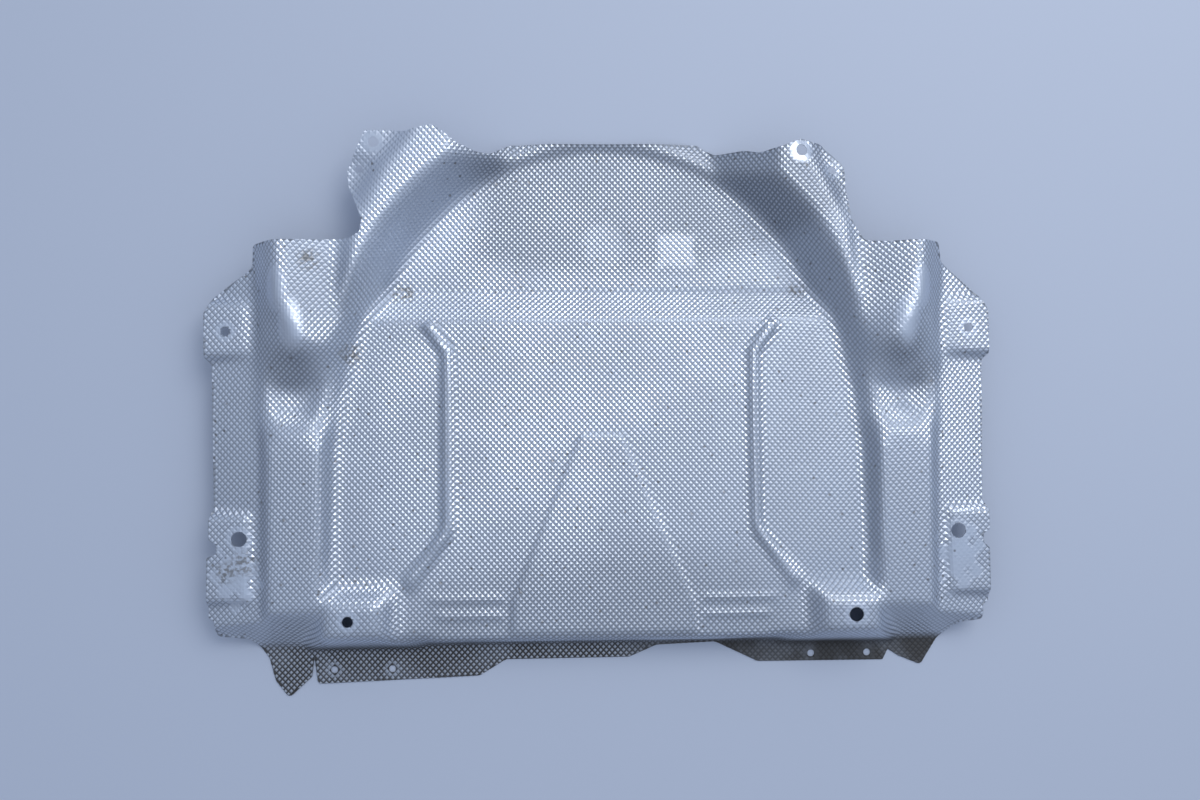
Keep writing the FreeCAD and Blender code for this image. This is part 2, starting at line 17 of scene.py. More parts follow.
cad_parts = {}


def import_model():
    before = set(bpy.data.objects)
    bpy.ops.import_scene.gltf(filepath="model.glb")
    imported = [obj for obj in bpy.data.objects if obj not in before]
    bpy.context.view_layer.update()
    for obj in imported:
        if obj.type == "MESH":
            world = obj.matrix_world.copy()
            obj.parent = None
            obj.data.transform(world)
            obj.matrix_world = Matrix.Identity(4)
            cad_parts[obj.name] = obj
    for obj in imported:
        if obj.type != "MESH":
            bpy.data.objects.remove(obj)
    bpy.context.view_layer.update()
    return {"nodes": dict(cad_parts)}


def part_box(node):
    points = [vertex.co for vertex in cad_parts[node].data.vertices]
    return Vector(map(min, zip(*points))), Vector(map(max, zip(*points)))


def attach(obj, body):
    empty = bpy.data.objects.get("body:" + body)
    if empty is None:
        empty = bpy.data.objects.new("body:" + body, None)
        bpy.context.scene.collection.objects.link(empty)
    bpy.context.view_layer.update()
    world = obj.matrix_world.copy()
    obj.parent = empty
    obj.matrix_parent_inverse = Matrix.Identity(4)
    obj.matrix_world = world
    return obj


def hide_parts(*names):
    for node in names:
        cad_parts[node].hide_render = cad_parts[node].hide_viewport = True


LOG = logging.getLogger("heat_shield")

# The sheet's own value for the finish: 0 in the grooves and 1 on the dimples
CREST_LAYER = "crest"
# Points of a CAD node closer than this are one point, in metres
DOUBLES = 1e-6

Colour = tuple[float, float, float]
Place = tuple[float, float]
Spot = tuple[Place, float]
SoftSpot = tuple[Place, float, float]


class MarkShape(Enum):
    """The outline of a marked place on the sheet."""

    ROUND = "round"
    SQUARE = "square"


@dataclass(frozen=True)
class FlatMark:
    """A place on the sheet that is pressed flat, worn down or rounded off.

    Attributes:
        centre: middle of the mark in the row frame, in metres.
        half: half its width and half its height, in metres.
        shape: round or square.
        depth: how strong the mark is, from 0 to 1.
        blur: width of the fading edge, in metres.
        ragged: how far its edge wanders in and out, in metres.
    """

    centre: Place
    half: Place
    shape: MarkShape
    depth: float = 1.0
    blur: float = 0.004
    ragged: float = 0.0

    def amount(self, x: np.ndarray, y: np.ndarray) -> np.ndarray:
        """Work out how strong the mark is at each point.

        Args:
            x: points across the sheet, in metres.
            y: points along the sheet, in metres.

        Returns:
            A value from 0, untouched, to the mark's depth.
        """
        across = np.abs(x - self.centre[0])
        along = np.abs(y - self.centre[1])
        if self.shape is MarkShape.ROUND:
            reach = np.hypot(across / self.half[0], along / self.half[1])
            gap = (1.0 - reach) * min(self.half)
        else:
            gap = np.minimum(self.half[0] - across, self.half[1] - along)
        wander = np.sin(310.0 * x + 190.0 * y) + np.sin(270.0 * y - 230.0 * x + 1.3)
        gap += 0.5 * self.ragged * wander
        return self.depth * np.clip(0.5 + gap / self.blur, 0.0, 1.0)


@dataclass
class PressedForm:
    """The front of the pressed sheet as a map of heights, read from the CAD node.

    Attributes:
        node: the CAD node of the sheet.
        step: spacing of the map, in metres.
        margin: how far the map goes past the sheet, in metres.
        soften: how far sharp creases are rounded, in metres.
        drawn: the deep drawn places, which the press leaves rounder, and how far each is rounded.
        looks: directions in which near_sheet looks round a point.
        low: the map's lowest corner, in metres, once it is read.
        heights: the softened heights, in metres, once they are read.
        cover: where the map lies over the sheet, once it is read.
    """

    node: bpy.types.Object
    step: float = 0.00125
    margin: float = 0.05
    soften: float = 0.0020
    drawn: tuple[tuple[FlatMark, float], ...] = (
        (FlatMark((-0.285, 0.100), (0.062, 0.110), MarkShape.ROUND, 1.0, 0.03), 0.0048),
        (FlatMark((0.285, 0.100), (0.062, 0.110), MarkShape.ROUND, 1.0, 0.03), 0.0048),
        (FlatMark((-0.185, 0.225), (0.060, 0.090), MarkShape.ROUND, 1.0, 0.03), 0.0048),
        (FlatMark((0.195, 0.210), (0.055, 0.080), MarkShape.ROUND, 1.0, 0.03), 0.0048),
        (FlatMark((0.0, 0.245), (0.170, 0.034), MarkShape.SQUARE, 1.0, 0.02), 0.0048),
        (FlatMark((-0.287, 0.052), (0.045, 0.028), MarkShape.ROUND, 1.0, 0.02), 0.0090),
        (FlatMark((0.287, 0.052), (0.045, 0.028), MarkShape.ROUND, 1.0, 0.02), 0.0090),
        (FlatMark((-0.290, 0.006), (0.042, 0.030), MarkShape.ROUND, 1.0, 0.02), 0.0078),
        (FlatMark((0.290, 0.006), (0.042, 0.030), MarkShape.ROUND, 1.0, 0.02), 0.0078),
        (FlatMark((-0.235, -0.180), (0.070, 0.045), MarkShape.SQUARE, 1.0, 0.02), 0.0042),
        (FlatMark((0.235, -0.180), (0.070, 0.045), MarkShape.SQUARE, 1.0, 0.02), 0.0042),
    )
    looks: int = 8
    low: Place = (0.0, 0.0)
    heights: np.ndarray = field(default_factory=lambda: np.zeros((1, 1)))
    cover: np.ndarray = field(default_factory=lambda: np.zeros((1, 1), dtype=bool))

    def read(self) -> None:
        """Cast rays down on a merged copy of the node and keep the softened heights."""
        copy = merged_copy(self.node)
        tree = BVHTree.FromBMesh(copy)
        copy.free()
        low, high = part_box(self.node.name)
        self.low = (low[0] - self.margin, low[1] - self.margin)
        across = int((high[0] - low[0] + 2 * self.margin) / self.step) + 1
        along = int((high[1] - low[1] + 2 * self.margin) / self.step) + 1
        top = high[2] + self.margin
        down = Vector((0.0, 0.0, -1.0))
        raw = np.full((across, along), np.nan)
        for i in range(across):
            x = self.low[0] + i * self.step
            for j in range(along):
                hit = tree.ray_cast(Vector((x, self.low[1] + j * self.step, top)), down)[0]
                if hit is not None:
                    raw[i, j] = hit.z
        self.cover = ~np.isnan(raw)
        sharp = self._spread(raw)
        x = self.low[0] + np.arange(across)[:, None] * self.step + np.zeros(along)
        y = self.low[1] + np.arange(along) * self.step + np.zeros((across, 1))
        self.heights = self._softened(sharp, self.soften)
        for place, amount in self.drawn:
            self.heights += place.amount(x, y) * (self._softened(sharp, amount) - self.heights)

    def _spread(self, raw: np.ndarray) -> np.ndarray:
        """Carry the heights on past the sheet's edge and over its holes.

        Args:
            raw: heights, with nan where the ray met nothing.

        Returns:
            Heights with no gaps.
        """
        full = raw.copy()
        while np.isnan(full).any():
            padded = np.pad(full, 1, constant_values=np.nan)
            near = np.stack((padded[:-2, 1:-1], padded[2:, 1:-1], padded[1:-1, :-2], padded[1:-1, 2:]))
            known = ~np.isnan(near)
            total = np.where(known, near, 0.0).sum(axis=0)
            count = known.sum(axis=0)
            fresh = np.isnan(full) & (count > 0)
            full[fresh] = total[fresh] / count[fresh]
        return full

    def _softened(self, sharp: np.ndarray, amount: float) -> np.ndarray:
        """Round the creases, as a press leaves them.

        Args:
            sharp: heights with the CAD model's creases.
            amount: how far they are rounded, in metres.

        Returns:
            The softened heights.
        """
        width = amount / self.step
        # Three widths hold nearly the whole bell curve
        reach = int(math.ceil(3 * width))
        weights = np.exp(-0.5 * (np.arange(-reach, reach + 1) / width) ** 2)
        weights /= weights.sum()
        soft = sharp
        for axis in (0, 1):
            sides = [(0, 0), (0, 0)]
            sides[axis] = (reach, reach)
            padded = np.pad(soft, sides, mode="edge")
            count = soft.shape[axis]
            shifted = (np.take(padded, np.arange(k, k + count), axis=axis) for k in range(len(weights)))
            soft = sum(weight * layer for weight, layer in zip(weights, shifted))
        return soft

    def height(self, x: np.ndarray, y: np.ndarray) -> np.ndarray:
        """Look up the height of the front at each point.

        Args:
            x: points across the sheet, in metres.
            y: points along the sheet, in metres.

        Returns:
            Heights, in metres.
        """
        rows, columns = self.heights.shape
        # A little under the last row, so that there is always a next one
        u = np.clip((x - self.low[0]) / self.step, 0.0, rows - 1.001)
        v = np.clip((y - self.low[1]) / self.step, 0.0, columns - 1.001)
        i = u.astype(int)
        j = v.astype(int)
        u -= i
        v -= j
        near = self.heights[i, j] * (1 - v) + self.heights[i, j + 1] * v
        far = self.heights[i + 1, j] * (1 - v) + self.heights[i + 1, j + 1] * v
        return near * (1 - u) + far * u

    def normals(self, x: np.ndarray, y: np.ndarray) -> np.ndarray:
        """Work out the front's outward direction at each point.

        Args:
            x: points across the sheet, in metres.
            y: points along the sheet, in metres.

        Returns:
            One unit vector a point.
        """
        reach = 2 * self.step
        slope_x = (self.height(x + reach, y) - self.height(x - reach, y)) / (2 * reach)
        slope_y = (self.height(x, y + reach) - self.height(x, y - reach)) / (2 * reach)
        away = np.stack((-slope_x, -slope_y, np.ones_like(slope_x)), axis=-1)
        return away / np.linalg.norm(away, axis=-1, keepdims=True)

    def near_sheet(self, x: np.ndarray, y: np.ndarray, reach: float) -> np.ndarray:
        """Tell which points lie on the sheet or within a short reach of it.

        Args:
            x: points across the sheet, in metres.
            y: points along the sheet, in metres.
            reach: how far outside still counts, in metres.

        Returns:
            One truth value a point.
        """
        rows, columns = self.cover.shape
        found = np.zeros(x.shape, dtype=bool)
        for angle in np.linspace(0.0, 2 * math.pi, self.looks, endpoint=False):
            i = ((x + reach * math.cos(angle) - self.low[0]) / self.step).astype(int)
            j = ((y + reach * math.sin(angle) - self.low[1]) / self.step).astype(int)
            found |= self.cover[np.clip(i, 0, rows - 1), np.clip(j, 0, columns - 1)]
        return found


@dataclass
class TrimTool:
    """The cutter that gives the sheet its outline and holes, drawn up from the CAD node's own rim.

    Attributes:
        node: the CAD node of the sheet.
        form: heights of the pressed form, which tell a hole from a steep crease.
        below: how far the cutter starts under the sheet, in metres.
        rise: how tall the cutter is, in metres.
        upright: a face whose normal rises less than this belongs to the rim.
        hole_limit: an inner loop narrower than this is a hole, in metres.
        sliver_limit: a loop narrower than this is no hole, in metres.
        crease_limit: a loop over solid sheet narrower than this is a steep crease, in metres.
        holes: centre and radius of each hole found, in metres.
    """

    node: bpy.types.Object
    form: PressedForm
    below: float = 0.03
    rise: float = 0.14
    upright: float = 0.06
    hole_limit: float = 0.03
    sliver_limit: float = 0.004
    crease_limit: float = 0.2
    holes: list[tuple[Place, float]] = field(default_factory=list)

    def build(self) -> bpy.types.Object:
        """Make the cutter as a closed prism with the outline and the holes.

        Returns:
            The cutter, to be removed after the cut.
        """
        source = merged_copy(self.node)
        shape = bmesh.new()
        twins: dict[int, bmesh.types.BMVert] = {}
        for edge in source.edges:
            if not self._on_front_rim(edge):
                continue
            for vert in edge.verts:
                if vert.index not in twins:
                    twins[vert.index] = shape.verts.new((vert.co.x, vert.co.y, -self.below))
            shape.edges.new([twins[vert.index] for vert in edge.verts])
        source.free()
        self._sort_loops(shape)
        bmesh.ops.triangle_fill(shape, use_beauty=True, edges=shape.edges[:], normal=(0.0, 0.0, 1.0))
        grown = bmesh.ops.extrude_face_region(shape, geom=shape.faces[:])
        lifted = [item for item in grown["geom"] if isinstance(item, bmesh.types.BMVert)]
        bmesh.ops.translate(shape, verts=lifted, vec=(0.0, 0.0, self.rise))
        bmesh.ops.recalc_face_normals(shape, faces=shape.faces[:])
        return object_from(shape, "trim_tool")

    def _on_front_rim(self, edge: bmesh.types.BMEdge) -> bool:
        """Tell whether an edge lies between the front of the sheet and its upright rim.

        Args:
            edge: an edge of the merged CAD node.

        Returns:
            Whether the cutter follows it.
        """
        if len(edge.link_faces) != 2:
            return False
        rises = sorted(face.normal.z for face in edge.link_faces)
        return abs(rises[0]) < self.upright and rises[1] > self.upright

    def _sort_loops(self, shape: bmesh.types.BMesh) -> None:
        """Drop slivers and steep creases from the loops, and keep the centre and radius of each hole.

        Args:
            shape: the loops of the rim, before they are filled.
        """
        left = set(shape.verts)
        strays = []
        while left:
            loop = []
            ahead = [left.pop()]
            while ahead:
                vert = ahead.pop()
                loop.append(vert)
                fresh = {edge.other_vert(vert) for edge in vert.link_edges} & left
                left -= fresh
                ahead.extend(fresh)
            spots = np.array([vert.co.xy for vert in loop])
            low = spots.min(axis=0)
            high = spots.max(axis=0)
            span = float((high - low).max())
            centre = (low + high) / 2
            covered = self.form.near_sheet(centre[:1], centre[1:], 0.0)[0]
            if span < self.sliver_limit or (span < self.crease_limit and covered):
                strays.extend(loop)
            elif span < self.hole_limit:
                self.holes.append(((float(centre[0]), float(centre[1])), span / 2))
        bmesh.ops.delete(shape, geom=strays, context="VERTS")


@dataclass
class EmbossedSheet:
    """The one-piece sheet: a diamond lattice laid over the pressed form, embossed, thickened and trimmed.

    Attributes:
        form: heights of the pressed form.
        trim: cutter for the outline and holes.
        cells: dimples along each side of the uncut lattice.
        across: width of a diamond, in metres.
        along: height of a diamond, in metres.
        knob: height of a dimple, in metres.
        gauge: thickness of the sheet, in metres.
        strides: cell groups in which the lattice settles, from coarse to fine.
        rounds: settling rounds at each stride.
        ease: share of each pull that is taken in a round.
        collar: width of the flat ring round a hole, in metres.
        collar_depth: how flat that ring is pressed, from 0 to 1.
        collar_blur: width of that ring's fading edge, in metres.
        ripple: height of the gentle waves left by handling, in metres.
        ripple_scale: waves to the metre.
        spare: cells kept outside the outline until the trim.
        marks: places where the dimples are pressed flat.
    """

    form: PressedForm
    trim: TrimTool
    cells: int = 256
    across: float = 0.00572
    along: float = 0.00608
    knob: float = 0.00062
    gauge: float = 0.0005
    strides: tuple[int, ...] = (16, 8, 4, 2, 1)
    rounds: int = 120
    ease: float = 0.4
    collar: float = 0.0045
    collar_depth: float = 0.35
    collar_blur: float = 0.003
    ripple: float = 0.0005
    ripple_scale: float = 14.0
    spare: float = 1.2
    marks: tuple[FlatMark, ...] = (
        FlatMark((0.003, 0.167), (0.020, 0.022), MarkShape.ROUND, 0.17, 0.008, 0.003),
        FlatMark((0.075, 0.162), (0.018, 0.016), MarkShape.SQUARE, 0.34, 0.005, 0.002),
        FlatMark((-0.347, -0.150), (0.015, 0.022), MarkShape.ROUND, 0.75, 0.010, 0.010),
        FlatMark((0.347, -0.140), (0.016, 0.024), MarkShape.ROUND, 0.75, 0.010, 0.010),
        FlatMark((-0.301, 0.120), (0.008, 0.016), MarkShape.ROUND, 0.6, 0.008),
        FlatMark((-0.288, 0.086), (0.009, 0.020), MarkShape.ROUND, 0.7, 0.008),
        FlatMark((0.301, 0.120), (0.008, 0.016), MarkShape.ROUND, 0.6, 0.008),
        FlatMark((0.288, 0.086), (0.009, 0.020), MarkShape.ROUND, 0.7, 0.008),
        FlatMark((-0.214, 0.259), (0.010, 0.010), MarkShape.ROUND, 0.9, 0.003),
        FlatMark((0.1905, 0.250), (0.011, 0.011), MarkShape.ROUND, 0.9, 0.003),
    )

    def build(self) -> bpy.types.Object:
        """Make the sheet.

        Returns:
            The finished piece at the origin, with its place in its mesh.
        """
        cutter = self.trim.build()
        sheet = bmesh.new()
        sheet.verts.layers.float.new(CREST_LAYER)
        bmesh.ops.create_grid(sheet, x_segments=self.cells, y_segments=self.cells, size=1.0)
        self._lay(sheet)
        self._clear_waste(sheet)
        self._emboss(sheet)
        piece = object_from(sheet, "embossed_shield")
        self._thicken_and_trim(piece, cutter)
        bpy.data.objects.remove(cutter)
        return piece

    def _lay(self, sheet: bmesh.types.BMesh) -> None:
        """Lay the flat lattice over the form.

        Args:
            sheet: the uncut lattice.
        """
        spots = self._settled().reshape(-1, 2)
        x = spots[:, 0]
        y = spots[:, 1]
        flat = self._flatness(x, y)
        places = np.column_stack((x, y, self.form.height(x, y) + self._waves(x, y)))
        # The grooves of a flattened place come up halfway as its dimples go down
        places -= self.form.normals(x, y) * (self.knob * (1.0 - 0.5 * flat))[:, None]
        crest = sheet.verts.layers.float[CREST_LAYER]
        for vert, place, level in zip(sheet.verts, places, flat):
            vert.co = place
            vert[crest] = level

    def _settled(self) -> np.ndarray:
        """Let the lattice settle on the form, so that each diamond keeps its size along the walls.

        Returns:
            The place of each lattice point in plan, in metres.
        """
        spots = np.zeros((0, 0, 2))
        for stride in self.strides:
            count = self.cells // stride
            if not spots.size:
                i, j = np.meshgrid(np.arange(count + 1), np.arange(count + 1))
                wide = (i - j) * stride * self.across / 2
                tall = (i + j - count) * stride * self.along / 2
                spots = np.stack((wide, tall), axis=-1)
            else:
                spots = self._doubled(spots)
            for _ in range(self.rounds):
                spots = spots + self.ease * self._pull(spots, stride)
        return spots

    @staticmethod
    def _doubled(spots: np.ndarray) -> np.ndarray:
        """Put a new lattice point halfway between each two.

        Args:
            spots: the coarse lattice.

        Returns:
            The lattice with half the spacing.
        """
        for axis in (0, 1):
            first = np.take(spots, np.arange(spots.shape[axis] - 1), axis=axis)
            second = np.take(spots, np.arange(1, spots.shape[axis]), axis=axis)
            places = np.arange(1, spots.shape[axis])
            spots = np.insert(spots, places, (first + second) / 2, axis=axis)
        return spots

    def _pull(self, spots: np.ndarray, stride: int) -> np.ndarray:
        """Work out how far the links to its neighbours pull each lattice point.

        Args:
            spots: lattice points in plan.
            stride: cells that one link spans.

        Returns:
            One move a point.
        """
        side = math.hypot(self.across, self.along) / 2
        whole = slice(None)
        head = slice(None, -1)
        tail = slice(1, None)
        links = (
            ((whole, head), (whole, tail), side),
            ((head, whole), (tail, whole), side),
            ((head, head), (tail, tail), self.along),
            ((tail, head), (head, tail), self.across),
        )
        moves = np.zeros_like(spots)
        for start, end, rest in links:
            gap = spots[end] - spots[start]
            length = self._length_on_form(spots[start], gap, stride)
            move = 0.5 * (1.0 - rest * stride / length)[..., None] * gap
            moves[start] += move
            moves[end] -= move
        return moves

    def _length_on_form(self, start: np.ndarray, gap: np.ndarray, parts: int) -> np.ndarray:
        """Measure links along the form's surface.

        Args:
            start: where each link starts in plan.
            gap: from its start to its end.
            parts: straight parts that each link is measured in.

        Returns:
            One length a link.
        """
        run = np.linalg.norm(gap, axis=-1) / parts
        length = np.zeros(run.shape)
        last = self.form.height(start[..., 0], start[..., 1])
        for part in range(1, parts + 1):
            spot = start + gap * (part / parts)
            height = self.form.height(spot[..., 0], spot[..., 1])
            length += np.hypot(run, height - last)
            last = height
        return length

    def _flatness(self, x: np.ndarray, y: np.ndarray) -> np.ndarray:
        """Work out how flat the dimples are pressed at each point.

        Args:
            x: points across the sheet, in metres.
            y: points along the sheet, in metres.

        Returns:
            A value from 0, full dimples, to 1, none.
        """
        flat = np.zeros(x.shape)
        for mark in self.marks:
            flat = np.maximum(flat, mark.amount(x, y))
        for centre, radius in self.trim.holes:
            reach = radius + self.collar
            ring = FlatMark(centre, (reach, reach), MarkShape.ROUND, self.collar_depth, self.collar_blur)
            flat = np.maximum(flat, ring.amount(x, y))
        return flat

    def _waves(self, x: np.ndarray, y: np.ndarray) -> np.ndarray:
        """Work out the gentle waves that handling has left in the sheet.

        Args:
            x: points across the sheet, in metres.
            y: points along the sheet, in metres.

        Returns:
            Heights to add, in metres.
        """
        spots = (Vector((self.ripple_scale * px, self.ripple_scale * py, 0.5)) for px, py in zip(x, y))
        return self.ripple * np.array([0.5 + 0.5 * noise.noise(spot) for spot in spots])

    def _clear_waste(self, sheet: bmesh.types.BMesh) -> None:
        """Delete the cells that lie well outside the outline.

        Args:
            sheet: the laid lattice.
        """
        centres = np.array([face.calc_center_median() for face in sheet.faces])
        kept = self.form.near_sheet(centres[:, 0], centres[:, 1], self.spare * self.along)
        waste = [face for face, keep in zip(sheet.faces, kept) if not keep]
        bmesh.ops.delete(sheet, geom=waste, context="FACES")

    def _emboss(self, sheet: bmesh.types.BMesh) -> None:
        """Raise a dimple in the middle of each cell.

        Args:
            sheet: the laid and cleared lattice.
        """
        knobs = bmesh.ops.poke(sheet, faces=sheet.faces[:])["verts"]
        spots = np.array([vert.co for vert in knobs])
        x = spots[:, 0]
        y = spots[:, 1]
        rise = self.knob * (1.0 - self._flatness(x, y))
        moves = self.form.normals(x, y) * rise[:, None]
        crest = sheet.verts.layers.float[CREST_LAYER]
        for vert, move in zip(knobs, moves):
            vert.co += Vector(move)
            vert[crest] = 1.0

    def _thicken_and_trim(self, piece: bpy.types.Object, cutter: bpy.types.Object) -> None:
        """Give the sheet its thickness, cut its outline and holes, and keep the result as its mesh.

        Args:
            piece: the embossed sheet.
            cutter: the closed prism to keep the sheet within.
        """
        thick = piece.modifiers.new("thickness", "SOLIDIFY")
        thick.thickness = self.gauge
        thick.offset = -1.0
        cut = piece.modifiers.new("outline", "BOOLEAN")
        cut.operation = "INTERSECT"
        cut.solver = "MANIFOLD"
        cut.object = cutter
        ready = piece.evaluated_get(bpy.context.evaluated_depsgraph_get())
        mesh = bpy.data.meshes.new_from_object(ready)
        piece.modifiers.clear()
        piece.data = mesh
        mesh.shade_flat()


@dataclass
class NodeBoard:
    """Lays and joins the nodes of one material.

    Attributes:
        tree: the material's node tree.
    """

    tree: bpy.types.NodeTree

    def add(self, kind: str, **settings: Any) -> bpy.types.Node:
        """Add a node and set its options.

        Args:
            kind: the node's type name.
            settings: options to set on it.

        Returns:
            The new node.
        """
        node = self.tree.nodes.new(kind)
        for name, value in settings.items():
            setattr(node, name, value)
        return node

    def feed(self, socket: bpy.types.NodeSocket, value: Any) -> None:
        """Join an output to a socket, or set the socket's own value.

        Args:
            socket: the socket to feed.
            value: an output, a number or a colour.
        """
        if isinstance(value, bpy.types.NodeSocket):
            self.tree.links.new(value, socket)
        else:
            socket.default_value = value

    def math(
        self,
        operation: str,
        first: Any,
        second: Any,
        clamp: bool = False,
    ) -> bpy.types.NodeSocket:
        """Join two values by an operation.

        Args:
            operation: the operation's name.
            first: an output or a number.
            second: an output or a number.
            clamp: whether the result is kept between 0 and 1.

        Returns:
            The result.
        """
        node = self.add("ShaderNodeMath", operation=operation, use_clamp=clamp)
        self.feed(node.inputs[0], first)
        self.feed(node.inputs[1], second)
        return node.outputs[0]

    def span(
        self,
        value: Any,
        low: float,
        high: float,
        start: float = 0.0,
        end: float = 1.0,
    ) -> bpy.types.NodeSocket:
        """Map a value from one range to another, smoothly and without going past the ends.

        Args:
            value: the value to map.
            low: where the first range starts.
            high: where it ends.
            start: what its start becomes.
            end: what its end becomes.

        Returns:
            The mapped value.
        """
        node = self.add("ShaderNodeMapRange", interpolation_type="SMOOTHSTEP")
        for socket, number in zip(node.inputs, (value, low, high, start, end)):
            self.feed(socket, number)
        return node.outputs[0]

    def noise(self, where: bpy.types.NodeSocket, scale: float, detail: float) -> bpy.types.NodeSocket:
        """Make a cloudy value.

        Args:
            where: the coordinates it reads.
            scale: clouds to the metre.
            detail: finer layers of it.

        Returns:
            A value about 0.5.
        """
        node = self.add("ShaderNodeTexNoise")
        self.feed(node.inputs["Vector"], where)
        node.inputs["Scale"].default_value = scale
        node.inputs["Detail"].default_value = detail
        return node.outputs[0]

    def blend(self, amount: Any, first: Any, second: Any) -> bpy.types.NodeSocket:
        """Blend two colours.

        Args:
            amount: 0 for the first colour, 1 for the second.
            first: an output or a colour.
            second: an output or a colour.

        Returns:
            The blended colour.
        """
        node = self.add("ShaderNodeMix", data_type="RGBA", clamp_factor=True)
        self.feed(node.inputs[0], amount)
        self.feed(node.inputs[6], (*first, 1.0) if isinstance(first, tuple) else first)
        self.feed(node.inputs[7], (*second, 1.0) if isinstance(second, tuple) else second)
        return node.outputs[2]

    def spot(
        self,
        where: bpy.types.NodeSocket,
        centre: Place,
        radius: float,
        blur: float,
    ) -> bpy.types.NodeSocket:
        """Make a round spot in plan.

        Args:
            where: the coordinates it reads.
            centre: its middle, in metres.
            radius: its radius, in metres.
            blur: width of its fading edge, in metres.

        Returns:
            1 inside the spot and 0 outside.
        """
        flat = self.add("ShaderNodeVectorMath", operation="MULTIPLY")
        self.feed(flat.inputs[0], where)
        flat.inputs[1].default_value = (1.0, 1.0, 0.0)
        reach = self.add("ShaderNodeVectorMath", operation="DISTANCE")
        self.feed(reach.inputs[0], flat.outputs[0])
        reach.inputs[1].default_value = (centre[0], centre[1], 0.0)
        return self.span(reach.outputs["Value"], radius - blur, radius + blur, 1.0, 0.0)


@dataclass(frozen=True)
class Cloud:
    """A cloudy pattern of the finish, such as a grey film or patches of dirt.

    Attributes:
        scale: clouds to the metre.
        detail: finer layers of it.
        low: noise value at which the pattern is weakest.
        high: noise value at which it is full.
        least: what its weakest places become, from 0 to 1.
    """

    scale: float
    detail: float
    low: float
    high: float
    least: float = 0.0

    def lay(self, board: NodeBoard, where: bpy.types.NodeSocket) -> bpy.types.NodeSocket:
        """Lay the pattern over the sheet.

        Args:
            board: the material's nodes.
            where: the coordinates it reads.

        Returns:
            A value from the least to 1.
        """
        clouds = board.noise(where, self.scale, self.detail)
        return board.span(clouds, self.low, self.high, self.least, 1.0)


